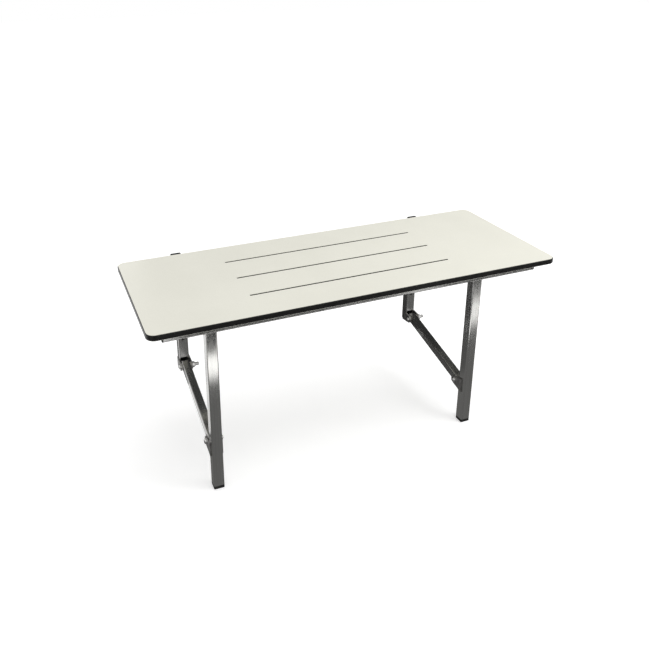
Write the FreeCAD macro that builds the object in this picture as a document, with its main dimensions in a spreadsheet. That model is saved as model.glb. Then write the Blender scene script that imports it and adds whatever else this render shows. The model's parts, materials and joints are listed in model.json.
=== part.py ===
"""Fold-up shower bench seat: a slotted laminate board on a steel frame, hinged to two wall posts,
with two front legs that stay upright while the seat swings up against the wall.

Frame: origin in the wall plane, midway between the four wall fixings. X runs along the seat,
Y points into the wall, Z is up. Millimetres.
"""
import FreeCAD, Part
import os

import Sketcher

V = FreeCAD.Vector

# Every driving dimension: name, value, what it is.
SIZES = [
    ("seat_length", 960, "board, end to end"),
    ("seat_depth", 365, "board, front edge to rear edge"),
    ("board_thickness", 13, "board with both laminate faces"),
    ("laminate_thickness", 0.6, "one decorative face"),
    ("board_corner", 19, "plan radius of the board's corners"),
    ("board_edge_round", 1.5, "round-over that leaves the dark core showing"),
    ("slot_length", 488, "drain slot, end to end"),
    ("slot_width", 5, "drain slot"),
    ("slot_pitch", 91, "between neighbouring slots"),
    ("seat_height", 476, "floor to seat top"),
    ("seat_above_fixings", 168, "seat top above the middle of the wall fixings"),
    ("wall_gap", 42.5, "wall to the board's rear edge"),
    ("tube_side", 25, "square tube of posts, legs and frame"),
    ("tube_wall", 2, "its wall"),
    ("tube_corner", 2.5, "its outer corner radius"),
    ("rail_inset", 34, "board end to rail cap"),
    ("rail_setback", 32.5, "board edge to rail face, front and rear"),
    ("leg_spacing", 664, "leg centre to leg centre, and post to post"),
    ("leg_setback", 88.5, "board front edge to the legs' front face"),
    ("leg_top_gap", 3, "cross tube to the top of the leg"),
    ("strut_side", 20, "square tube of struts and hangers"),
    ("strut_wall", 2, "its wall"),
    ("strut_corner", 2, "its outer corner radius"),
    ("strut_tail", 10, "pivot to the end of a strut or hanger"),
    ("link_fall", 57, "front pivots below the rear ones"),
    ("hinge_reach", 6.5, "seat hinge in front of the post"),
    ("pivot_pitch", 288.5, "seat hinge to strut pivot, straight down the post"),
    ("strut_post_gap", 0.9, "post to the nearest that a turning strut comes"),
    ("strut_leg_gap", 2.9, "leg to the nearest that a turning strut comes"),
    ("post_tail", 14, "strut pivot to the foot of the post"),
    ("fold_gap", 2, "post cap to the board once it is folded up"),
    ("plate_thickness", 3, "pivot plates"),
    ("plate_nose", 11, "nose radius of a pivot plate"),
    ("hinge_nose", 10, "nose radius at the seat hinge"),
    ("plate_lap", 15, "how far a plate laps on its tube"),
    ("post_plate_root", 28, "height of the post's strut plate where it meets the post"),
    ("leg_plate_root", 38, "height of the leg's strut plate where it meets the leg"),
    ("top_plate_root", 26, "height of the hinge plate and the leg's top plate at the root"),
    ("hinge_plate_sink", 9, "hinge plate root below the hinge"),
    ("top_plate_rise", 18, "leg's top plate root above its pivot"),
    ("hinge_board_gap", 1, "board to the noses of the hinge plates"),
    ("bolt_radius", 4, "pivot bolts"),
    ("bolt_head_radius", 7, "button head"),
    ("bolt_head_height", 4.4, "button head"),
    ("bolt_tip_bevel", 0.8, "bevel on the end of a bolt"),
    ("socket_width", 5, "hexagon socket across its flats"),
    ("socket_depth", 2.6, "hexagon socket"),
    ("nut_width", 13, "lock nut across its flats"),
    ("nut_height", 5.5, "its hexagon"),
    ("nut_collar_radius", 5.6, "its round collar"),
    ("nut_collar_height", 2.5, "its round collar"),
    ("thread_end", 1.5, "bolt past its nut"),
    ("long_thread_end", 9.5, "bolt past its nut at the wall end of a strut"),
    ("washer_radius", 8, "nylon washers"),
    ("hinge_washer", 1, "washer between hinge plate and lug"),
    ("cap_head", 3, "tube cap outside the tube"),
    ("cap_insert", 12, "tube cap inside the tube"),
    ("cap_clearance", 0.1, "cap to tube bore, each side"),
    ("plug_head", 2, "strut plug outside the tube"),
    ("plug_insert", 16, "strut plug inside the tube"),
    ("foot_head", 8, "rubber foot outside the leg"),
    ("foot_insert", 20, "rubber foot inside the leg"),
    ("fixing_pitch", 150, "between the two fixings of a post"),
    ("fixing_radius", 3.5, "wall fixing holes"),
    ("screw_radius", 2.2, "seat screws"),
    ("screw_head_radius", 4.6, "seat screws"),
    ("screw_head_height", 2.6, "seat screws"),
    ("screw_bite", 8, "seat screw inside the core"),
    ("screw_inset", 36, "outer seat screws from the end of the rail"),
    ("screw_inner", 120, "inner seat screws from the middle of the seat"),
    ("running_clearance", 0.05, "bolt to the hole it turns in"),
    ("open_clearance", 0.3, "bolt to the strut's front hole"),
    ("face_clearance", 0.3, "between faces that turn past each other"),
]

# Places worked out from those dimensions.
BOARD_TOP = "Sizes.seat_above_fixings"
BOARD_BASE = "(Sizes.seat_above_fixings - Sizes.board_thickness)"
BOARD_REAR = "(-Sizes.wall_gap)"
BOARD_FRONT = "(-Sizes.wall_gap - Sizes.seat_depth)"
BOARD_MIDDLE = "(-Sizes.wall_gap - Sizes.seat_depth / 2)"
CORE_BASE = f"({BOARD_BASE} + Sizes.laminate_thickness)"
FLOOR = "(Sizes.seat_above_fixings - Sizes.seat_height)"
RAIL_LENGTH = "(Sizes.seat_length - 2 * Sizes.rail_inset)"
RAIL_BASE = f"({BOARD_BASE} - Sizes.tube_side)"
RAIL_MIDDLE = f"({BOARD_BASE} - Sizes.tube_side / 2)"
FRONT_RAIL = f"({BOARD_FRONT} + Sizes.rail_setback + Sizes.tube_side / 2)"
REAR_RAIL = f"({BOARD_REAR} - Sizes.rail_setback - Sizes.tube_side / 2)"
POST_MIDDLE = "(-Sizes.tube_side / 2)"
LEG_REAR = f"({BOARD_FRONT} + Sizes.leg_setback + Sizes.tube_side)"
LEG_MIDDLE = f"({LEG_REAR} - Sizes.tube_side / 2)"
LEG_TOP = f"({RAIL_BASE} - Sizes.leg_top_gap)"

# The four pivots, (y, z). Seat and strut are equal and parallel, so the legs stay upright.
HINGE = ("(-Sizes.tube_side - Sizes.hinge_reach)",
         f"({BOARD_BASE} - Sizes.hinge_board_gap - Sizes.hinge_nose)")
STRUT_SWEEP = "sqrt(Sizes.strut_tail^2 + (Sizes.strut_side / 2)^2)"
POST_REACH = f"({STRUT_SWEEP} + Sizes.strut_post_gap)"
LEG_REACH = f"({STRUT_SWEEP} + Sizes.strut_leg_gap)"
WALL_PIVOT = (f"(-Sizes.tube_side - {POST_REACH})", f"({HINGE[1]} - Sizes.pivot_pitch)")
STRUT_PIVOT = (f"({LEG_REAR} + {LEG_REACH})", f"({WALL_PIVOT[1]} - Sizes.link_fall)")
STRUT_RUN = f"({WALL_PIVOT[0]} - {STRUT_PIVOT[0]})"
LEG_PIVOT = (f"({HINGE[0]} - {STRUT_RUN})", f"({HINGE[1]} - Sizes.link_fall)")
STRUT_LENGTH = f"sqrt({STRUT_RUN}^2 + Sizes.link_fall^2)"

POST_TOP = f"({HINGE[1]} - ({BOARD_REAR} - {HINGE[0]}) - Sizes.fold_gap)"
POST_BASE = f"({WALL_PIVOT[1]} - Sizes.post_tail)"

# Distances from the middle of a post or leg, along X.
TUBE_FACE = "(Sizes.tube_side / 2)"
PLATE_FACE = "(Sizes.tube_side / 2 + Sizes.plate_thickness)"
LUG_INNER = f"({PLATE_FACE} + Sizes.hinge_washer + Sizes.face_clearance)"
LUG_FACE = f"({LUG_INNER} + Sizes.plate_thickness)"
HINGE_SEAT = f"({LUG_FACE} + Sizes.face_clearance)"
SPACER = "(Sizes.hinge_reach - Sizes.face_clearance)"
NUT_LENGTH = "(Sizes.nut_height + Sizes.nut_collar_height)"
BORE = "(Sizes.bolt_radius + Sizes.running_clearance)"
OPEN_BORE = "(Sizes.bolt_radius + Sizes.open_clearance)"
PIVOT_WASHER = "((Sizes.tube_side - Sizes.strut_side) / 2 - Sizes.face_clearance)"

SIDES = [("left", -1), ("right", 1)]

doc = FreeCAD.newDocument("shower_seat")
sheet = doc.addObject("Spreadsheet::Sheet", "Sizes")
nodes = []


def fill_sheet():
    for row, (alias, size, note) in enumerate(SIZES, start=1):
        sheet.set(f"A{row}", note)
        sheet.set(f"B{row}", str(size))
        sheet.setAlias(f"B{row}", alias)
    doc.recompute()


def value(expression):
    """The present value of an expression, which starts a sketch near its solution."""
    return float(sheet.evalExpression(str(expression)))


def side_x(sign, offset="0"):
    return f"({sign} * Sizes.leg_spacing / 2 + {offset})"


# ---- documents, placements and features ----

def place(item, x, y, z):
    for axis, expression in zip("xyz", (x, y, z)):
        item.setExpression(f"Placement.Base.{axis}", str(expression))
    return item


def new_body(label, keep=True):
    body = doc.addObject("PartDesign::Body", label)
    body.Label = label
    if keep:
        nodes.append(body)
    return body


def group(label, pieces):
    """Identical pieces that share one node, as separate solids."""
    compound = doc.addObject("Part::Compound", label)
    compound.Label = label
    compound.Links = pieces
    nodes.append(compound)
    return compound


def new_sketch(body, role, name):
    plane = [item for item in body.Origin.OriginFeatures if item.Role == role][0]
    sketch = body.newObject("Sketcher::SketchObject", f"{body.Name}_{name}")
    sketch.AttachmentSupport = [(plane, "")]
    sketch.MapMode = "FlatFace"
    return sketch


def raise_plane(sketch, height):
    sketch.setExpression("AttachmentOffset.Base.z", str(height))


def pad(body, sketch, length, symmetric=False, reverse=False):
    feature = body.newObject("PartDesign::Pad", f"{sketch.Name}_pad")
    feature.Profile = sketch
    feature.setExpression("Length", str(length))
    feature.SideType = "Symmetric" if symmetric else "One side"
    feature.Reversed = reverse
    body.Tip = feature
    doc.recompute()
    return feature


def pocket(body, sketch, length=None, reverse=False):
    """Cuts through everything, both ways, or to a depth. Stops if nothing is cut."""
    doc.recompute()
    before = body.Shape.Volume
    feature = body.newObject("PartDesign::Pocket", f"{sketch.Name}_pocket")
    feature.Profile = sketch
    if length is None:
        feature.Type = "ThroughAll"
        feature.SideType = "Symmetric"
    else:
        feature.setExpression("Length", str(length))
        feature.Reversed = reverse
    body.Tip = feature
    doc.recompute()
    if body.Shape.Volume >= before:
        raise RuntimeError(f"{feature.Name} cuts nothing")
    return feature


def dress(body, kind, size_name, size, chosen):
    """A fillet or chamfer on the edges that the test picks."""
    doc.recompute()
    base = body.Tip
    names = [f"Edge{i}" for i, edge in enumerate(base.Shape.Edges, start=1) if chosen(edge)]
    feature = body.newObject(kind, f"{body.Name}_{kind[12:].lower()}")
    feature.Base = (base, names)
    feature.setExpression(size_name, str(size))
    body.Tip = feature
    doc.recompute()
    return feature


def fillet(body, radius, chosen):
    return dress(body, "PartDesign::Fillet", "Radius", radius, chosen)


def chamfer(body, size, chosen):
    return dress(body, "PartDesign::Chamfer", "Size", size, chosen)


# ---- sketch outlines ----

def bind(sketch, constraint, name, expression):
    index = sketch.addConstraint(constraint)
    sketch.renameConstraint(index, name)
    sketch.setExpression(f"Constraints.{name}", str(expression))


def rounded_rectangle(sketch, name, width, depth, radius):
    """Four lines and four tangent arcs, centred on the sketch's origin."""
    half_w = value(width) / 2
    half_d = value(depth) / 2
    r = value(radius)
    up = V(0, 0, 1)
    corners = [(1, -1, 270), (1, 1, 0), (-1, 1, 90), (-1, -1, 180)]
    arcs = []
    ends = []
    for x_sign, y_sign, start in corners:
        centre = V(x_sign * (half_w - r), y_sign * (half_d - r), 0)
        arc = Part.ArcOfCircle(
            Part.Circle(centre, up, r), FreeCAD.Units.Quantity(f"{start} deg").getValueAs("rad"),
            FreeCAD.Units.Quantity(f"{start + 90} deg").getValueAs("rad"))
        arcs.append(arc)
        ends.append((arc.StartPoint, arc.EndPoint))
    lines = [Part.LineSegment(ends[i - 1][1], ends[i][0]) for i in range(4)]
    first = sketch.addGeometry([lines[0], arcs[0], lines[1], arcs[1], lines[2], arcs[2], lines[3], arcs[3]],
                               False)[0]
    for step in range(8):
        here = first + step
        following = first + (step + 1) % 8
        sketch.addConstraint(Sketcher.Constraint("Tangent", here, 2, following, 1))
    bottom, right, top, left = first, first + 2, first + 4, first + 6
    sketch.addConstraint([
        Sketcher.Constraint("Horizontal", bottom), Sketcher.Constraint("Horizontal", top),
        Sketcher.Constraint("Vertical", right), Sketcher.Constraint("Vertical", left),
        Sketcher.Constraint("Equal", first + 1, first + 3), Sketcher.Constraint("Equal", first + 3, first + 5),
        Sketcher.Constraint("Equal", first + 5, first + 7),
        Sketcher.Constraint("Symmetric", first + 1, 3, first + 5, 3, -1, 1)])
    bind(sketch, Sketcher.Constraint("Radius", first + 1, r), f"{name}_corner", radius)
    bind(sketch, Sketcher.Constraint("DistanceX", left, 1, right, 1, 2 * half_w), f"{name}_width", width)
    bind(sketch, Sketcher.Constraint("DistanceY", bottom, 1, top, 1, 2 * half_d), f"{name}_depth", depth)


def circle(sketch, name, radius, x="0", y="0"):
    """A circle at x, y of the sketch. A centre on the origin is tied to it."""
    centre = V(value(x), value(y), 0)
    geo = sketch.addGeometry(Part.Circle(centre, V(0, 0, 1), value(radius)), False)
    bind(sketch, Sketcher.Constraint("Radius", geo, value(radius)), f"{name}_radius", radius)
    for kind, origin_axis, expression in (("DistanceX", -2, x), ("DistanceY", -1, y)):
        if expression == "0":
            sketch.addConstraint(Sketcher.Constraint("PointOnObject", geo, 3, origin_axis))
        else:
            bind(sketch, Sketcher.Constraint(kind, -1, 1, geo, 3, value(expression)),
                 f"{name}_{kind}", expression)


def hexagon(sketch, name, across_flats):
    """A regular hexagon on the origin, its corners on a guide circle."""
    corner_circle = f"({across_flats} / cos(30deg))"
    outer = value(corner_circle) / 2
    turn = FreeCAD.Rotation(V(0, 0, 1), 60)
    points = [V(outer, 0, 0)]
    for _ in range(5):
        points.append(turn.multVec(points[-1]))
    guide = sketch.addGeometry(Part.Circle(V(0, 0, 0), V(0, 0, 1), outer), True)
    sketch.addConstraint(Sketcher.Constraint("Coincident", guide, 3, -1, 1))
    first = sketch.addGeometry([Part.LineSegment(points[i], points[(i + 1) % 6]) for i in range(6)], False)[0]
    for i in range(6):
        sketch.addConstraint(Sketcher.Constraint("Coincident", first + i, 2, first + (i + 1) % 6, 1))
        sketch.addConstraint(Sketcher.Constraint("PointOnObject", first + i, 1, guide))
        if i:
            sketch.addConstraint(Sketcher.Constraint("Equal", first, first + i))
    sketch.addConstraint(Sketcher.Constraint("PointOnObject", first, 1, -1))
    bind(sketch, Sketcher.Constraint("Diameter", guide, 2 * outer), f"{name}_corners", corner_circle)


def slot(sketch, name, length, width, y):
    """A straight slot along the sketch's X, centred on x = 0."""
    r = value(width) / 2
    half = value(length) / 2 - r
    level = value(y)
    up = V(0, 0, 1)
    quarter = FreeCAD.Units.Quantity("90 deg").getValueAs("rad").Value
    right = Part.ArcOfCircle(Part.Circle(V(half, level, 0), up, r), -quarter, quarter)
    left = Part.ArcOfCircle(Part.Circle(V(-half, level, 0), up, r), quarter, 3 * quarter)
    top = Part.LineSegment(V(half, level + r, 0), V(-half, level + r, 0))
    bottom = Part.LineSegment(V(-half, level - r, 0), V(half, level - r, 0))
    first = sketch.addGeometry([right, top, left, bottom], False)[0]
    for step in range(4):
        sketch.addConstraint(Sketcher.Constraint("Tangent", first + step, 2, first + (step + 1) % 4, 1))
    sketch.addConstraint(Sketcher.Constraint("Horizontal", first + 1))
    sketch.addConstraint(Sketcher.Constraint("Symmetric", first, 3, first + 2, 3, -2))
    bind(sketch, Sketcher.Constraint("Radius", first, r), f"{name}_end", f"{width} / 2")
    bind(sketch, Sketcher.Constraint("DistanceX", first + 2, 3, first, 3, 2 * half), f"{name}_run",
         f"{length} - {width}")
    if y == "0":
        sketch.addConstraint(Sketcher.Constraint("PointOnObject", first, 3, -1))
    else:
        bind(sketch, Sketcher.Constraint("DistanceY", -1, 1, first, 3, level), f"{name}_level", y)


def plate_outline(sketch, nose, reach, low, high):
    """A pivot plate seen along X: a round nose on the origin that widens to a straight root.

    The root is at y = reach, which may lie either way, and runs from z = low to z = high."""
    r = value(nose)
    root = value(reach)
    bottom = V(root, value(low), 0)
    top = V(root, value(high), 0)
    way = 1 if root > 0 else -1

    def touch(point, turn):
        """Where the line from a point touches the nose; turn says on which side."""
        square = point.x ** 2 + point.y ** 2
        along = r * r / square
        across = turn * r * (square - r * r) ** 0.5 / square
        return V(along * point.x - across * point.y, along * point.y + across * point.x, 0)

    upper = touch(top, way)
    lower = touch(bottom, -way)
    far = V(-way * r, 0, 0)
    if way > 0:
        arc = Part.Arc(upper, far, lower)
        loop = [Part.LineSegment(bottom, top), Part.LineSegment(top, upper), arc, Part.LineSegment(lower, bottom)]
    else:
        arc = Part.Arc(lower, far, upper)
        loop = [Part.LineSegment(top, bottom), Part.LineSegment(bottom, lower), arc, Part.LineSegment(upper, top)]
    first = sketch.addGeometry(loop, False)[0]
    root_line, nose_arc = first, first + 2
    sketch.addConstraint([
        Sketcher.Constraint("Coincident", root_line, 2, first + 1, 1),
        Sketcher.Constraint("Tangent", first + 1, 2, nose_arc, 1),
        Sketcher.Constraint("Tangent", nose_arc, 2, first + 3, 1),
        Sketcher.Constraint("Coincident", first + 3, 2, root_line, 1),
        Sketcher.Constraint("Vertical", root_line),
        Sketcher.Constraint("Coincident", nose_arc, 3, -1, 1)])
    low_end, high_end = (1, 2) if way > 0 else (2, 1)
    bind(sketch, Sketcher.Constraint("Radius", nose_arc, r), "nose", nose)
    bind(sketch, Sketcher.Constraint("DistanceX", -1, 1, root_line, 1, root), "reach", reach)
    bind(sketch, Sketcher.Constraint("DistanceY", -1, 1, root_line, low_end, bottom.y), "low", low)
    bind(sketch, Sketcher.Constraint("DistanceY", -1, 1, root_line, high_end, top.y), "high", high)


# ---- stock pieces ----

def tube(label, role, side, wall, corner, length):
    """Square tube, centred on its own origin, along the normal of the named plane."""
    body = new_body(label)
    sketch = new_sketch(body, role, "section")
    rounded_rectangle(sketch, "outer", side, side, corner)
    bore = f"({side} - 2 * {wall})"
    rounded_rectangle(sketch, "inner", bore, bore, f"({corner} - {wall} / 2)")
    pad(body, sketch, length, symmetric=True)
    return body


def frame_tube(label, role, length):
    return tube(label, role, "Sizes.tube_side", "Sizes.tube_wall", "Sizes.tube_corner", length)


def strut_tube(label, role, length):
    return tube(label, role, "Sizes.strut_side", "Sizes.strut_wall", "Sizes.strut_corner", length)


def insert(label, role, side, wall, corner, head, depth, head_reverse):
    """A moulded cap: a head as wide as the tube, and an insert that slides into it.

    Its origin is on the tube's end. The head leaves along the plane's normal, or against it."""
    body = new_body(label)
    head_sketch = new_sketch(body, role, "head")
    rounded_rectangle(head_sketch, "head", side, side, corner)
    pad(body, head_sketch, head, reverse=head_reverse)
    insert_sketch = new_sketch(body, role, "insert")
    inside = f"({side} - 2 * {wall} - 2 * Sizes.cap_clearance)"
    rounded_rectangle(insert_sketch, "insert", inside, inside, f"({corner} - {wall} / 2)")
    pad(body, insert_sketch, depth, reverse=not head_reverse)
    return body


def tube_cap(label, role, head_reverse, head="Sizes.cap_head", depth="Sizes.cap_insert"):
    body = insert(label, role, "Sizes.tube_side", "Sizes.tube_wall", "Sizes.tube_corner", head, depth,
                  head_reverse)
    outer = value(head) * (-1 if head_reverse else 1)
    axis = "x" if role == "YZ_Plane" else "z"

    def rim(edge):
        return abs(getattr(edge.BoundBox.Center, axis) - outer) < 0.001

    fillet(body, "Sizes.cap_head / 4", rim)
    return body


def strut_plug(label, role, head_reverse, bore):
    """A cap for strut tube. The pivot bolt passes through its insert."""
    body = insert(label, role, "Sizes.strut_side", "Sizes.strut_wall", "Sizes.strut_corner", "Sizes.plug_head",
                  "Sizes.plug_insert", head_reverse)
    way = 1 if head_reverse else -1
    centre = f"({way} * (Sizes.strut_tail - Sizes.plug_head))"
    sketch = new_sketch(body, "YZ_Plane", "bore")
    if role == "XY_Plane":
        circle(sketch, "bore", bore, y=centre)
    else:
        circle(sketch, "bore", bore, x=f"(-1 * {centre})")
    pocket(body, sketch)
    return body


def plate_pair(label, sign, inner, pivot, nose, reach, low, high):
    """Two equal plates, one each side of a tube."""
    pieces = []
    for name, offset in (("outer", f"(-{inner} - Sizes.plate_thickness)"), ("inner", inner)):
        body = new_body(f"{label}_{name}", keep=False)
        sketch = new_sketch(body, "YZ_Plane", "outline")
        plate_outline(sketch, nose, reach, low, high)
        circle(sketch, "bore", BORE)
        pad(body, sketch, "Sizes.plate_thickness")
        pieces.append(place(body, side_x(sign, offset), *pivot))
    return group(label, pieces)


def bolt(label, grip, tip):
    """Button-head bolt along +X. Its origin is under the head; grip is what it clamps."""
    body = new_body(label, keep=False)
    head = new_sketch(body, "YZ_Plane", "head")
    circle(head, "head", "Sizes.bolt_head_radius")
    pad(body, head, "Sizes.bolt_head_height", reverse=True)
    crown = value("Sizes.bolt_head_height")
    fillet(body, "Sizes.bolt_head_height * 0.8", lambda edge: abs(edge.BoundBox.Center.x + crown) < 0.001)
    shank = new_sketch(body, "YZ_Plane", "shank")
    circle(shank, "shank", "Sizes.bolt_radius")
    length = f"({grip} + {NUT_LENGTH} + {tip})"
    pad(body, shank, length)
    end = value(length)
    chamfer(body, "Sizes.bolt_tip_bevel", lambda edge: abs(edge.BoundBox.Center.x - end) < 0.001)
    socket = new_sketch(body, "YZ_Plane", "socket")
    raise_plane(socket, "-Sizes.bolt_head_height")
    hexagon(socket, "socket", "Sizes.socket_width")
    pocket(body, socket, "Sizes.socket_depth", reverse=True)
    return body


def nut(label):
    """Lock nut along +X from its bearing face, with a round collar."""
    body = new_body(label, keep=False)
    flats = new_sketch(body, "YZ_Plane", "flats")
    hexagon(flats, "flats", "Sizes.nut_width")
    circle(flats, "bore", BORE)
    pad(body, flats, "Sizes.nut_height")
    collar = new_sketch(body, "YZ_Plane", "collar")
    raise_plane(collar, "Sizes.nut_height")
    circle(collar, "collar", "Sizes.nut_collar_radius")
    circle(collar, "bore", BORE)
    pad(body, collar, "Sizes.nut_collar_height")
    return body


def ring(label, radius, thickness):
    """Washer or spacer along +X, on a pivot bolt."""
    body = new_body(label, keep=False)
    sketch = new_sketch(body, "YZ_Plane", "ring")
    circle(sketch, "rim", radius)
    circle(sketch, "bore", BORE)
    pad(body, sketch, thickness)
    return body


def seat_screw(label):
    """Pan-head screw along +Z. Its origin is under the head."""
    body = new_body(label, keep=False)
    head = new_sketch(body, "XY_Plane", "head")
    circle(head, "head", "Sizes.screw_head_radius")
    pad(body, head, "Sizes.screw_head_height", reverse=True)
    crown = value("Sizes.screw_head_height")
    fillet(body, "Sizes.screw_head_height * 0.6", lambda edge: abs(edge.BoundBox.Center.z + crown) < 0.001)
    shank = new_sketch(body, "XY_Plane", "shank")
    circle(shank, "shank", "Sizes.screw_radius")
    pad(body, shank, "(Sizes.tube_side + Sizes.laminate_thickness + Sizes.screw_bite)")
    return body


# ---- the wall side ----

def wall_posts():
    for side, sign in SIDES:
        tube_top = f"({POST_TOP} - Sizes.cap_head)"
        tube_base = f"({POST_BASE} + Sizes.cap_head)"
        post = frame_tube(f"{side}_post", "XY_Plane", f"({tube_top} - {tube_base})")
        middle = f"(({tube_top} + {tube_base}) / 2)"
        place(post, side_x(sign), POST_MIDDLE, middle)
        holes = new_sketch(post, "XZ_Plane", "fixings")
        circle(holes, "upper", "Sizes.fixing_radius", y=f"(Sizes.fixing_pitch / 2 - {middle})")
        circle(holes, "lower", "Sizes.fixing_radius", y=f"(-Sizes.fixing_pitch / 2 - {middle})")
        pocket(post, holes)
        cap = tube_cap(f"{side}_post_top_cap", "XY_Plane", head_reverse=False)
        place(cap, side_x(sign), POST_MIDDLE, tube_top)
        cap = tube_cap(f"{side}_post_bottom_cap", "XY_Plane", head_reverse=True)
        place(cap, side_x(sign), POST_MIDDLE, tube_base)


def wall_plates():
    for side, sign in SIDES:
        root_middle = "(-Sizes.hinge_plate_sink)"
        plate_pair(f"{side}_hinge_plates", sign, TUBE_FACE, HINGE, "Sizes.hinge_nose",
                   "(Sizes.hinge_reach + Sizes.plate_lap)", f"({root_middle} - Sizes.top_plate_root / 2)",
                   f"({root_middle} + Sizes.top_plate_root / 2)")
        plate_pair(f"{side}_strut_plates", sign, TUBE_FACE, WALL_PIVOT, "Sizes.plate_nose",
                   f"({POST_REACH} + Sizes.plate_lap)", "(-Sizes.post_plate_root / 2)",
                   "(Sizes.post_plate_root / 2)")


def both_sides(label, make, places):
    """The same piece at several places, each (sign, offset along X, pivot), in one node."""
    pieces = []
    for number, (sign, offset, pivot) in enumerate(places, start=1):
        pieces.append(place(make(f"{label}_{number}"), side_x(sign, offset), *pivot))
    return group(label, pieces)


def washer_places(sign, pivot):
    """One washer against each plate, inside the pair."""
    return [(sign, f"(-{TUBE_FACE})", pivot), (sign, f"({TUBE_FACE} - {PIVOT_WASHER})", pivot)]


def wall_fasteners():
    hinge_grip = f"(2 * {HINGE_SEAT})"
    strut_grip = f"(2 * {PLATE_FACE})"
    both_sides("hinge_bolts", lambda name: bolt(name, hinge_grip, "Sizes.thread_end"),
               [(sign, f"(-{HINGE_SEAT})", HINGE) for _, sign in SIDES])
    both_sides("strut_wall_bolts", lambda name: bolt(name, strut_grip, "Sizes.long_thread_end"),
               [(sign, f"(-{PLATE_FACE})", WALL_PIVOT) for _, sign in SIDES])
    both_sides("wall_pivot_nuts", nut,
               [(sign, HINGE_SEAT, HINGE) for _, sign in SIDES]
               + [(sign, PLATE_FACE, WALL_PIVOT) for _, sign in SIDES])
    both_sides("hinge_spacers", lambda name: ring(name, SPACER, "Sizes.tube_side"),
               [(sign, f"(-{TUBE_FACE})", HINGE) for _, sign in SIDES])
    both_sides("hinge_washers", lambda name: ring(name, "Sizes.washer_radius", "Sizes.hinge_washer"),
               [(sign, f"(-{PLATE_FACE} - Sizes.hinge_washer)", HINGE) for _, sign in SIDES]
               + [(sign, PLATE_FACE, HINGE) for _, sign in SIDES])
    both_sides("strut_wall_washers", lambda name: ring(name, "Sizes.washer_radius", PIVOT_WASHER),
               [spot for _, sign in SIDES for spot in washer_places(sign, WALL_PIVOT)])


# ---- the seat ----

def slot_rows():
    return [("rear", "Sizes.slot_pitch"), ("middle", "0"), ("front", "-Sizes.slot_pitch")]


def screw_places():
    """The seat screws, (x, y): four along each rail."""
    outer = f"({RAIL_LENGTH} / 2 - Sizes.screw_inset)"
    along = [f"(-1 * {outer})", "(-1 * Sizes.screw_inner)", "Sizes.screw_inner", outer]
    return [(x, rail) for rail in (FRONT_RAIL, REAR_RAIL) for x in along]


def board_layer(label, inset, base, thickness, screw_holes):
    """One layer of the board, with its drain slots and, below, its screw holes."""
    body = new_body(label)
    outline = new_sketch(body, "XY_Plane", "outline")
    rounded_rectangle(outline, "board", f"(Sizes.seat_length - 2 * {inset})",
                      f"(Sizes.seat_depth - 2 * {inset})", f"(Sizes.board_corner - {inset})")
    for name, row in slot_rows():
        slot(outline, name, "Sizes.slot_length", "Sizes.slot_width", row)
    pad(body, outline, thickness)
    if screw_holes:
        holes = new_sketch(body, "XY_Plane", "screw_holes")
        for number, (x, y) in enumerate(screw_places(), start=1):
            circle(holes, f"screw_{number}", "(Sizes.screw_radius + Sizes.running_clearance)", x,
                   f"({y} - {BOARD_MIDDLE})")
        pocket(body, holes, screw_holes, reverse=True)
    return place(body, "0", BOARD_MIDDLE, base)


def board():
    core_thickness = "(Sizes.board_thickness - 2 * Sizes.laminate_thickness)"
    core = board_layer("seat_core", "0", CORE_BASE, core_thickness,
                       "(Sizes.screw_bite + Sizes.running_clearance)")
    half_length = value("Sizes.seat_length") / 2
    half_depth = value("Sizes.seat_depth") / 2
    corner = value("Sizes.board_corner")

    def outer_rim(edge):
        """Edges of the outline that lie in the top or bottom face."""
        box = edge.BoundBox
        flat = box.ZLength < 0.001
        centre = box.Center
        at_edge = abs(centre.x) > half_length - corner or abs(centre.y) > half_depth - corner
        return flat and at_edge

    fillet(core, "Sizes.board_edge_round", outer_rim)
    board_layer("top_laminate", "Sizes.board_edge_round", f"({BOARD_TOP} - Sizes.laminate_thickness)",
                "Sizes.laminate_thickness", None)
    board_layer("bottom_laminate", "Sizes.board_edge_round", BOARD_BASE, "Sizes.laminate_thickness",
                "Sizes.laminate_thickness")


def seat_frame():
    tube_length = f"({RAIL_LENGTH} - 2 * Sizes.cap_head)"
    for name, middle in (("front_rail", FRONT_RAIL), ("rear_rail", REAR_RAIL)):
        rail = frame_tube(name, "YZ_Plane", tube_length)
        holes = new_sketch(rail, "XY_Plane", "screw_holes")
        for number, (x, _) in enumerate(screw_places()[:4], start=1):
            circle(holes, f"screw_{number}", "(Sizes.screw_radius + Sizes.running_clearance)", x)
        pocket(rail, holes)
        place(rail, "0", middle, RAIL_MIDDLE)
        for side, sign in SIDES:
            cap = tube_cap(f"{name}_{side}_cap", "YZ_Plane", head_reverse=sign < 0)
            place(cap, f"({sign} * {tube_length} / 2)", middle, RAIL_MIDDLE)
    screws = []
    for number, (x, y) in enumerate(screw_places(), start=1):
        screws.append(place(seat_screw(f"seat_screw_{number}"), x, y, RAIL_BASE))
    group("seat_screws", screws)
    for side, sign in SIDES:
        cross = frame_tube(f"{side}_cross_tube", "XZ_Plane", f"({REAR_RAIL} - {FRONT_RAIL} - Sizes.tube_side)")
        place(cross, side_x(sign), f"(({REAR_RAIL} + {FRONT_RAIL}) / 2)", RAIL_MIDDLE)


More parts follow.
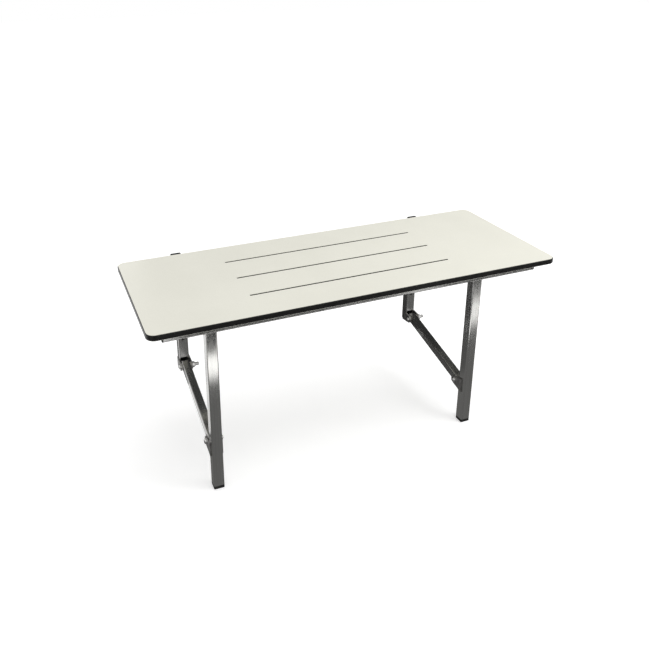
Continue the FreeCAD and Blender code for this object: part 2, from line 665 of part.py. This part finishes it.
def seat_hinge_lugs():
    """Two plates on the back of the rear rail, one each side of the post's hinge plates."""
    to_rail = f"({REAR_RAIL} + Sizes.tube_side / 2 - {HINGE[0]})"
    for side, sign in SIDES:
        plate_pair(f"{side}_hinge_lugs", sign, LUG_INNER, HINGE, "Sizes.hinge_nose", to_rail,
                   f"({RAIL_BASE} - {HINGE[1]})", "Sizes.hinge_nose")


def leg_hangers():
    """Upright stubs of strut tube under the cross tubes, which carry the leg pivots."""
    tube_base = f"({LEG_PIVOT[1]} - Sizes.strut_tail + Sizes.plug_head)"
    for side, sign in SIDES:
        hanger = strut_tube(f"{side}_leg_hanger", "XY_Plane", f"({RAIL_BASE} - {tube_base})")
        middle = f"(({RAIL_BASE} + {tube_base}) / 2)"
        bore = new_sketch(hanger, "YZ_Plane", "bore")
        circle(bore, "bore", BORE, y=f"({LEG_PIVOT[1]} - {middle})")
        pocket(hanger, bore)
        place(hanger, side_x(sign), LEG_PIVOT[0], middle)
        plug = strut_plug(f"{side}_hanger_plug", "XY_Plane", head_reverse=True, bore=BORE)
        place(plug, side_x(sign), LEG_PIVOT[0], tube_base)


# ---- legs and struts ----

def leg(side, sign):
    tube_base = f"({FLOOR} + Sizes.foot_head)"
    tube_top = f"({LEG_TOP} - Sizes.cap_head)"
    post = frame_tube(f"{side}_leg", "XY_Plane", f"({tube_top} - {tube_base})")
    place(post, side_x(sign), LEG_MIDDLE, f"(({tube_top} + {tube_base}) / 2)")
    cap = tube_cap(f"{side}_leg_top_cap", "XY_Plane", head_reverse=False)
    place(cap, side_x(sign), LEG_MIDDLE, tube_top)
    foot = tube_cap(f"{side}_foot", "XY_Plane", True, "Sizes.foot_head", "Sizes.foot_insert")
    place(foot, side_x(sign), LEG_MIDDLE, tube_base)
    plate_pair(f"{side}_leg_top_plates", sign, TUBE_FACE, LEG_PIVOT, "Sizes.plate_nose",
               f"({LEG_REAR} - {LEG_PIVOT[0]} - Sizes.plate_lap)",
               "(Sizes.top_plate_rise - Sizes.top_plate_root / 2)",
               "(Sizes.top_plate_rise + Sizes.top_plate_root / 2)")
    plate_pair(f"{side}_leg_strut_plates", sign, TUBE_FACE, STRUT_PIVOT, "Sizes.plate_nose",
               f"(-{LEG_REACH} - Sizes.plate_lap)", "(-Sizes.leg_plate_root / 2)",
               "(Sizes.leg_plate_root / 2)")
    pivots = (LEG_PIVOT, STRUT_PIVOT)
    both_sides(f"{side}_leg_bolts", lambda name: bolt(name, f"(2 * {PLATE_FACE})", "Sizes.thread_end"),
               [(sign, f"(-{PLATE_FACE})", pivot) for pivot in pivots])
    both_sides(f"{side}_leg_nuts", nut, [(sign, PLATE_FACE, pivot) for pivot in pivots])
    both_sides(f"{side}_leg_washers", lambda name: ring(name, "Sizes.washer_radius", PIVOT_WASHER),
               [spot for pivot in pivots for spot in washer_places(sign, pivot)])


def tilt(body):
    """Leans a piece drawn along Y to the slope of the strut."""
    body.Placement.Rotation = FreeCAD.Rotation(V(1, 0, 0), 1)
    body.setExpression("Placement.Rotation.Angle", f"atan(Sizes.link_fall / {STRUT_RUN})")


def strut(side, sign):
    tail = "(Sizes.strut_tail - Sizes.plug_head)"
    body = strut_tube(f"{side}_strut", "XZ_Plane", f"({STRUT_LENGTH} + 2 * {tail})")
    for name, bore, way in (("wall", BORE, "1"), ("leg", OPEN_BORE, "-1")):
        sketch = new_sketch(body, "YZ_Plane", f"{name}_bore")
        circle(sketch, "bore", bore, x=f"({way} * {STRUT_LENGTH} / 2)")
        pocket(body, sketch)
    tilt(body)
    middle = (f"(({WALL_PIVOT[0]} + {STRUT_PIVOT[0]}) / 2)", f"(({WALL_PIVOT[1]} + {STRUT_PIVOT[1]}) / 2)")
    place(body, side_x(sign), *middle)
    for name, bore, pivot, way in (("rear", BORE, WALL_PIVOT, "1"), ("front", OPEN_BORE, STRUT_PIVOT, "-1")):
        plug = strut_plug(f"{side}_strut_{name}_plug", "XZ_Plane", head_reverse=name == "rear", bore=bore)
        tilt(plug)
        along = f"({way} * {tail} * {STRUT_RUN} / {STRUT_LENGTH})"
        upward = f"({way} * {tail} * Sizes.link_fall / {STRUT_LENGTH})"
        place(plug, side_x(sign), f"({pivot[0]} + {along})", f"({pivot[1]} + {upward})")


# ---- checks and files ----

def check_document():
    doc.recompute()
    for item in doc.Objects:
        if "Invalid" in item.State or "Error" in item.State:
            raise RuntimeError(f"{item.Label} failed: {item.State}")
    for node in nodes:
        if node.Shape.isNull() or not node.Shape.isValid() or not node.Shape.Solids:
            raise RuntimeError(f"{node.Label} has no valid shape")


def write_parts():
    os.makedirs("parts", exist_ok=True)
    for node in nodes:
        node.Shape.exportStep(f"parts/{node.Label}.step")
    print(len(nodes), "nodes,", sum(len(node.Shape.Solids) for node in nodes), "solids")


def main():
    fill_sheet()
    wall_posts()
    wall_plates()
    wall_fasteners()
    board()
    seat_frame()
    seat_hinge_lugs()
    leg_hangers()
    for side, sign in SIDES:
        leg(side, sign)
        strut(side, sign)
    check_document()
    write_parts()


main()
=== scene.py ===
import json
import math

import bpy
from mathutils import Matrix, Vector


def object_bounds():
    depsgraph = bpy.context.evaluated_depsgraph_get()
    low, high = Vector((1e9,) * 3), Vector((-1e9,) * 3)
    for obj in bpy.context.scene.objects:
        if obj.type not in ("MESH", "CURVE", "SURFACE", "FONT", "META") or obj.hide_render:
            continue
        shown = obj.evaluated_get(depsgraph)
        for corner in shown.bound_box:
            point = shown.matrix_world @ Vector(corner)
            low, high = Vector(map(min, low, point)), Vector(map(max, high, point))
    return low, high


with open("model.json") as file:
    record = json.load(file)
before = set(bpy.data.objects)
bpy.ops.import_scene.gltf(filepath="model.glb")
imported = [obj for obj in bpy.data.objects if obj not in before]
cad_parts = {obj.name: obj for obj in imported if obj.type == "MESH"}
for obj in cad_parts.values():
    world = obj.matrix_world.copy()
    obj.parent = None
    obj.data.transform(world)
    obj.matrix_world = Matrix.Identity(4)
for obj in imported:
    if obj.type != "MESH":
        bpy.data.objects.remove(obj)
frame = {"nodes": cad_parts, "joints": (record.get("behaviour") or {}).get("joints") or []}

CAD_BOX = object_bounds()
NODES = frame["nodes"]
JOINTS = {joint["name"]: joint for joint in frame["joints"]}
SIDES = (("left", -1), ("right", 1))

# Brush marks per metre, across the grain and along it, and how much coarser the broad ones are.
FINE = 2600
ALONG = 9
BROAD = 0.12

# A Mix node has sockets for each kind of value; these are its factor and its colours.
MIX_FACTOR, MIX_FIRST, MIX_SECOND, MIX_RESULT = 0, 6, 7, 2

# What the floor adds towards white where it is looked at.
GLOW = 0.46
FLOOR_GAP = 0.0005

# Studio cards lie just above the floor; this is how bright a dark one is.
CARD_LIFT = 0.002
DARK = 0.02


def pivot(joint_name):
    return Vector(JOINTS[joint_name]["pos_m"])


# ---- camera ----

def make_camera():
    """A 40 mm lens standing in front of the seat's left end and looking down on it."""
    yaw, pitch, roll = (math.radians(angle) for angle in (20.90, 20.78, -0.69))
    forward = Vector((math.sin(yaw) * math.cos(pitch), math.cos(yaw) * math.cos(pitch), -math.sin(pitch)))
    right = Vector((math.cos(yaw), -math.sin(yaw), 0))
    up = right.cross(forward)
    turned_right = math.cos(roll) * right + math.sin(roll) * up
    turned_up = -math.sin(roll) * right + math.cos(roll) * up
    data = bpy.data.cameras.new("camera")
    data.sensor_width = 36
    data.lens = 39.57
    data.shift_x = 0.0634
    data.shift_y = -0.1626
    camera = bpy.data.objects.new("camera", data)
    bpy.context.scene.collection.objects.link(camera)
    turn = Matrix((turned_right, turned_up, -forward)).transposed().to_4x4()
    camera.matrix_world = Matrix.Translation((-0.657, -1.6035, 0.8507)) @ turn
    bpy.context.scene.camera = camera


# ---- materials ----

class Nodes:
    """A short way to write the nodes of a material or a world."""

    def __init__(self, owner, output="ShaderNodeOutputMaterial"):
        self.owner = owner
        owner.use_nodes = True
        self.tree = owner.node_tree
        self.tree.nodes.clear()
        self.output = self.node(output)

    def fill(self, socket, value):
        """Joins a socket to another node's output, or gives it a value."""
        if isinstance(value, bpy.types.NodeSocket):
            self.tree.links.new(value, socket)
        else:
            socket.default_value = value

    def node(self, kind, settings=None, **sockets):
        made = self.tree.nodes.new(kind)
        for key, value in (settings or {}).items():
            setattr(made, key, value)
        for key, value in sockets.items():
            self.fill(made.inputs[key.replace("_", " ")], value)
        return made

    def place(self, scale=(1, 1, 1), lean=0):
        """Places on the piece, in metres, leant about X and then stretched."""
        spot = self.node("ShaderNodeTexCoord").outputs["Object"]
        if lean:
            spot = self.node("ShaderNodeVectorRotate", {"rotation_type": "X_AXIS"}, Vector=spot,
                             Angle=lean).outputs["Vector"]
        if scale == (1, 1, 1):
            return spot
        stretch = self.node("ShaderNodeVectorMath", {"operation": "MULTIPLY"})
        self.fill(stretch.inputs[0], spot)
        self.fill(stretch.inputs[1], scale)
        return stretch.outputs[0]

    def noise(self, place, scale, detail=3, rough=0.55):
        return self.node("ShaderNodeTexNoise", Vector=place, Scale=scale, Detail=detail,
                         Roughness=rough).outputs["Fac"]

    def ramp(self, fac, stops):
        """A colour ramp; each stop is (position, grey) or (position, (r, g, b))."""
        ramp = self.node("ShaderNodeValToRGB", Fac=fac)
        elements = ramp.color_ramp.elements
        while len(elements) < len(stops):
            elements.new(0.5)
        for element, (position, colour) in zip(elements, stops):
            element.position = position
            grey = isinstance(colour, (int, float))
            element.color = (colour,) * 3 + (1,) if grey else tuple(colour) + (1,)
        return ramp.outputs["Color"]

    def math(self, operation, first, second):
        made = self.node("ShaderNodeMath", {"operation": operation})
        for socket, value in zip(made.inputs, (first, second)):
            self.fill(socket, value)
        return made.outputs[0]

    def mix(self, fac, first, second):
        """Mixes two colours, each an (r, g, b) or another node's output."""
        made = self.node("ShaderNodeMix", {"data_type": "RGBA"})
        self.fill(made.inputs[MIX_FACTOR], fac)
        for index, colour in ((MIX_FIRST, first), (MIX_SECOND, second)):
            linked = isinstance(colour, bpy.types.NodeSocket)
            self.fill(made.inputs[index], colour if linked else (*colour, 1))
        return made.outputs[MIX_RESULT]

    def bump(self, height, strength, distance):
        made = self.node("ShaderNodeBump", Height=height, Strength=strength, Distance=distance)
        return made.outputs["Normal"]

    def surface(self, shader):
        self.fill(self.output.inputs["Surface"], shader)
        return self.owner

    def principled(self, **sockets):
        return self.surface(self.node("ShaderNodeBsdfPrincipled", **sockets).outputs["BSDF"])


def new_material(name):
    return Nodes(bpy.data.materials.new(name))


def laminate():
    """Warm off-white compact laminate with a pearl texture and faint cloudiness."""
    n = new_material("laminate")
    place = n.place()
    cloud = n.noise(place, 5, 4)
    speck = n.noise(place, 700, 2)
    colour = n.mix(n.ramp(cloud, [(0.3, 0), (0.7, 1)]), (0.83, 0.82, 0.725), (0.88, 0.87, 0.775))
    colour = n.mix(0.5, colour, n.mix(n.ramp(speck, [(0.38, 0), (0.62, 1)]), (0.83, 0.82, 0.73),
                                      (0.89, 0.88, 0.79)))
    grain = n.noise(place, 900, 2, 0.5)
    rough = n.ramp(n.noise(place, 14, 4), [(0.3, 0.40), (0.7, 0.50)])
    return n.principled(Base_Color=colour, Roughness=rough, Normal=n.bump(grain, 0.25, 0.00015),
                        Specular_IOR_Level=0.45)


def core():
    """Black phenolic core, pressed from thin sheets, with a satin milled edge."""
    n = new_material("dark_core")
    layers = n.noise(n.place((6, 6, 5200)), 1, 2)
    dust = n.noise(n.place(), 160, 4)
    colour = n.mix(n.ramp(layers, [(0.35, 0), (0.65, 1)]), (0.0020, 0.0020, 0.0022),
                   (0.0055, 0.0052, 0.0050))
    colour = n.mix(n.ramp(dust, [(0.64, 0), (0.82, 0.25)]), colour, (0.03, 0.029, 0.027))
    rough = n.ramp(dust, [(0.3, 0.30), (0.7, 0.42)])
    return n.principled(Base_Color=colour, Roughness=rough, Normal=n.bump(layers, 0.2, 0.00006),
                        Specular_IOR_Level=0.3)


def brushed(name, axis, lean=0, painted_shade_scale=1.0):
    """Brushed stainless tube, its grain along axis, a unit vector, before it is leant about X. A scale
    below 1 darkens its colours as painted shade.
    """
    n = new_material(name)
    stretch = tuple(FINE - (FINE - ALONG) * abs(part) for part in axis)
    fine = n.noise(n.place(stretch, lean), 1, 3, 0.6)
    broad = n.noise(n.place(tuple(BROAD * part for part in stretch), lean), 1, 3)
    smudge = n.noise(n.place(), 22, 4)
    # Scaling these stainless colours down paints shade into a darker copy of the material.
    low, high, worn = (tuple(painted_shade_scale * part for part in colour)
                       for colour in ((0.46, 0.455, 0.445), (0.60, 0.595, 0.585), (0.67, 0.665, 0.66)))
    colour = n.mix(n.ramp(fine, [(0.3, 0), (0.7, 1)]), low, high)
    colour = n.mix(n.math("MULTIPLY", n.ramp(broad, [(0.35, 0), (0.7, 1)]), 0.4), colour, worn)
    rough = n.math("ADD", n.ramp(fine, [(0.3, 0.15), (0.75, 0.20)]),
                   n.ramp(smudge, [(0.4, 0.0), (0.75, 0.05)]))
    grain = n.node("ShaderNodeVectorTransform", {"vector_type": "VECTOR", "convert_from": "OBJECT",
                                                 "convert_to": "WORLD"})
    n.fill(grain.inputs[0], Matrix.Rotation(-lean, 3, "X") @ Vector(axis))
    across = n.node("ShaderNodeVectorMath", {"operation": "CROSS_PRODUCT"})
    n.fill(across.inputs[0], n.node("ShaderNodeNewGeometry").outputs["Normal"])
    n.fill(across.inputs[1], grain.outputs[0])
    return n.principled(Base_Color=colour, Metallic=1.0, Roughness=rough, Normal=n.bump(fine, 0.2, 0.00006),
                        Anisotropic=0.9, Tangent=across.outputs[0])


def plate():
    """Laser-cut stainless plate: a dull rolled face with cloudy pickling marks."""
    n = new_material("stainless_plate")
    place = n.place()
    cloud = n.noise(place, 90, 5, 0.65)
    pits = n.noise(place, 1400, 2)
    colour = n.mix(n.ramp(cloud, [(0.35, 0), (0.68, 1)]), (0.27, 0.265, 0.255), (0.47, 0.465, 0.455))
    rough = n.ramp(cloud, [(0.3, 0.30), (0.7, 0.46)])
    return n.principled(Base_Color=colour, Metallic=1.0, Roughness=rough, Normal=n.bump(pits, 0.3, 0.0001))


def fastener():
    """Bright cold-formed stainless, with light turning marks and handling scuffs."""
    n = new_material("fastener")
    place = n.place()
    turning = n.noise(n.place((4200, 300, 300)), 1, 2)
    scuff = n.noise(place, 420, 4)
    colour = n.mix(n.ramp(scuff, [(0.4, 0), (0.7, 1)]), (0.55, 0.545, 0.535), (0.74, 0.735, 0.725))
    rough = n.ramp(scuff, [(0.35, 0.16), (0.75, 0.34)])
    return n.principled(Base_Color=colour, Metallic=1.0, Roughness=rough,
                        Normal=n.bump(turning, 0.2, 0.00008))


def moulded(name, dark, pale, rough_low, rough_high, grain_scale, specular=0.5):
    """Moulded plastic or rubber with a fine spark-eroded grain."""
    n = new_material(name)
    place = n.place()
    grain = n.noise(place, grain_scale, 2)
    cloud = n.noise(place, 60, 4)
    colour = n.mix(n.ramp(cloud, [(0.35, 0), (0.7, 1)]), dark, pale)
    rough = n.ramp(cloud, [(0.3, rough_low), (0.7, rough_high)])
    return n.principled(Base_Color=colour, Roughness=rough, Normal=n.bump(grain, 0.3, 0.00015),
                        Specular_IOR_Level=specular)


def coat(names, material):
    for name in names:
        data = NODES[name].data
        data.materials.clear()
        data.materials.append(material)


def both(*tails):
    return [f"{side}_{tail}" for side, _ in SIDES for tail in tails]


def dress_nodes():
    slope = math.atan2(pivot("seat_fold").z - pivot("left_leg_fold").z,
                       pivot("seat_fold").y - pivot("left_leg_fold").y)
    coat(["top_laminate", "bottom_laminate"], laminate())
    coat(["seat_core"], core())
    coat(["front_rail", "rear_rail"], brushed("stainless_rail", (1, 0, 0)))
    coat(both("cross_tube"), brushed("stainless_cross", (0, 1, 0)))
    coat(both("post", "leg"), brushed("stainless_upright", (0, 0, 1)))
    # The hanger and the strut under the seat get darker copies of the same stainless: painted shade, not a
    # different finish.
    coat(both("leg_hanger"), brushed("shaded_stainless_hanger", (0, 0, 1), painted_shade_scale=0.9))
    coat(both("strut"), brushed("shaded_stainless_strut", (0, 1, 0), -slope, painted_shade_scale=0.8))
    coat(both("hinge_plates", "strut_plates", "hinge_lugs", "leg_top_plates", "leg_strut_plates"), plate())
    coat(["hinge_bolts", "strut_wall_bolts", "wall_pivot_nuts", "seat_screws"]
         + both("leg_bolts", "leg_nuts"), fastener())
    coat(both("post_top_cap", "post_bottom_cap", "leg_top_cap", "strut_rear_plug", "strut_front_plug",
              "hanger_plug")
         + [f"{rail}_{side}_cap" for rail in ("front_rail", "rear_rail") for side, _ in SIDES],
         moulded("black_cap", (0.006, 0.006, 0.006), (0.014, 0.014, 0.015), 0.36, 0.5, 1300))
    coat(both("foot"),
         moulded("rubber_foot", (0.010, 0.010, 0.010), (0.030, 0.029, 0.027), 0.6, 0.8, 900, 0.3))
    coat(["hinge_spacers", "hinge_washers", "strut_wall_washers"] + both("leg_washers"),
         moulded("nylon", (0.62, 0.60, 0.55), (0.74, 0.72, 0.67), 0.34, 0.5, 700))


# ---- floor, backdrop and lights ----

def stage_mesh(name, points, faces, material):
    data = bpy.data.meshes.new(name)
    data.from_pydata(points, [], faces)
    data.materials.append(material)
    made = bpy.data.objects.new(name, data)
    bpy.context.scene.collection.objects.link(made)
    return made


def seen_by_camera(n):
    """1 for a ray from the camera, off glossy metal or through glass, else 0."""
    path = n.node("ShaderNodeLightPath")
    seen = n.math("MAXIMUM", path.outputs["Is Camera Ray"], path.outputs["Is Glossy Ray"])
    return n.math("MAXIMUM", seen, path.outputs["Is Transmission Ray"])


def make_floor():
    """A pale floor that keeps the shadow; lifted a little towards white where it is looked at."""
    n = new_material("floor")
    mottle = n.noise(n.place(), 3, 3)
    colour = n.ramp(mottle, [(0.3, 0.80), (0.7, 0.82)])
    base = n.node("ShaderNodeBsdfDiffuse", Color=colour)
    glow = n.node("ShaderNodeEmission", Color=(1, 1, 1, 1),
                  Strength=n.math("MULTIPLY", seen_by_camera(n), GLOW))
    both_shaders = n.node("ShaderNodeAddShader")
    n.fill(both_shaders.inputs[0], base.outputs[0])
    n.fill(both_shaders.inputs[1], glow.outputs[0])
    material = n.surface(both_shaders.outputs[0])
    level = CAD_BOX[0].z - FLOOR_GAP
    half = 12
    corners = [(-half, -half, level), (half, -half, level), (half, half, level), (-half, half, level)]
    stage_mesh("floor", corners, [(0, 1, 2, 3)], material)


def make_card(name, corners, strength):
    """A studio card that shows only in reflections, and only from the side that its corners face."""
    n = new_material(name)
    wobble = n.noise(n.place(), 4, 2)
    glow = n.node("ShaderNodeEmission", Color=(1, 1, 0.98, 1),
                  Strength=n.math("MULTIPLY", n.ramp(wobble, [(0.3, 0.9), (0.7, 1.0)]), strength))
    clear = n.node("ShaderNodeBsdfTransparent")
    sided = n.node("ShaderNodeMixShader", Fac=n.node("ShaderNodeNewGeometry").outputs["Backfacing"])
    n.fill(sided.inputs[1], glow.outputs[0])
    n.fill(sided.inputs[2], clear.outputs[0])
    card = stage_mesh(name, corners, [(0, 1, 2, 3)], n.surface(sided.outputs[0]))
    for ray in ("camera", "diffuse", "shadow", "transmission", "volume_scatter"):
        setattr(card, f"visible_{ray}", False)


def floor_card(name, x0, x1, y0, y1, strength):
    level = CAD_BOX[0].z + CARD_LIFT
    make_card(name, [(x0, y0, level), (x1, y0, level), (x1, y1, level), (x0, y1, level)], strength)


def make_cards():
    """Dark cards round the seat, with a white strip between two of them."""
    floor_card("card_far_left", -3.0, -0.35, -3.2, -1.02, DARK)
    floor_card("card_far_middle", -0.27, 0.58, -3.2, -1.02, DARK)
    floor_card("card_far_right", 0.70, 3.0, -3.2, -1.02, DARK)
    floor_card("card_mid", -3.0, 3.0, -1.02, -0.885, DARK)
    floor_card("card_strip", -3.0, 3.0, -0.88, -0.77, 2.2)
    floor_card("card_near", -3.0, 3.0, -0.75, -0.12, 0.19)
    floor_card("card_under", -0.30, 0.45, -0.12, 0.11, 0.12)
    left, right, low, high, behind = -0.40, 2, CAD_BOX[0].z, 1.6, 0.12
    corners = [(left, behind, low), (right, behind, low), (right, behind, high), (left, behind, high)]
    make_card("card_back", corners, 0.06)


def make_lamp(name, kind, place, target, power, **settings):
    """A soft lamp, which the metal doesn't mirror: the cards and the floor are what it shows."""
    data = bpy.data.lights.new(name, kind)
    data.energy = power
    for key, value in settings.items():
        setattr(data, key, value)
    lamp = bpy.data.objects.new(name, data)
    lamp.location = place
    lamp.rotation_euler = (Vector(target) - Vector(place)).to_track_quat("-Z", "Y").to_euler()
    lamp.visible_glossy = False
    bpy.context.scene.collection.objects.link(lamp)


def make_world():
    """White where it is looked at or mirrored, and a plain dimmer light elsewhere."""
    world = bpy.data.worlds.new("world")
    bpy.context.scene.world = world
    n = Nodes(world, "ShaderNodeOutputWorld")
    strength = n.node("ShaderNodeMapRange", Value=seen_by_camera(n), To_Min=0.5, To_Max=1.0)
    background = n.node("ShaderNodeBackground", Color=(1, 1, 1, 1), Strength=strength.outputs["Result"])
    n.surface(background.outputs[0])


def make_stage():
    bpy.context.scene.view_settings.view_transform = "Standard"
    middle = (0, -0.2, 0)
    make_world()
    make_floor()
    make_cards()
    make_lamp("overhead", "SUN", (0.3, -0.6, 3), middle, 1.12, angle=math.radians(50))
    make_lamp("key", "AREA", (1.2, -1.0, 1.15), (0.3, -0.3, 0.1), 8.5,
              shape="RECTANGLE", size=0.9, size_y=0.9)


make_camera()
dress_nodes()
make_stage()
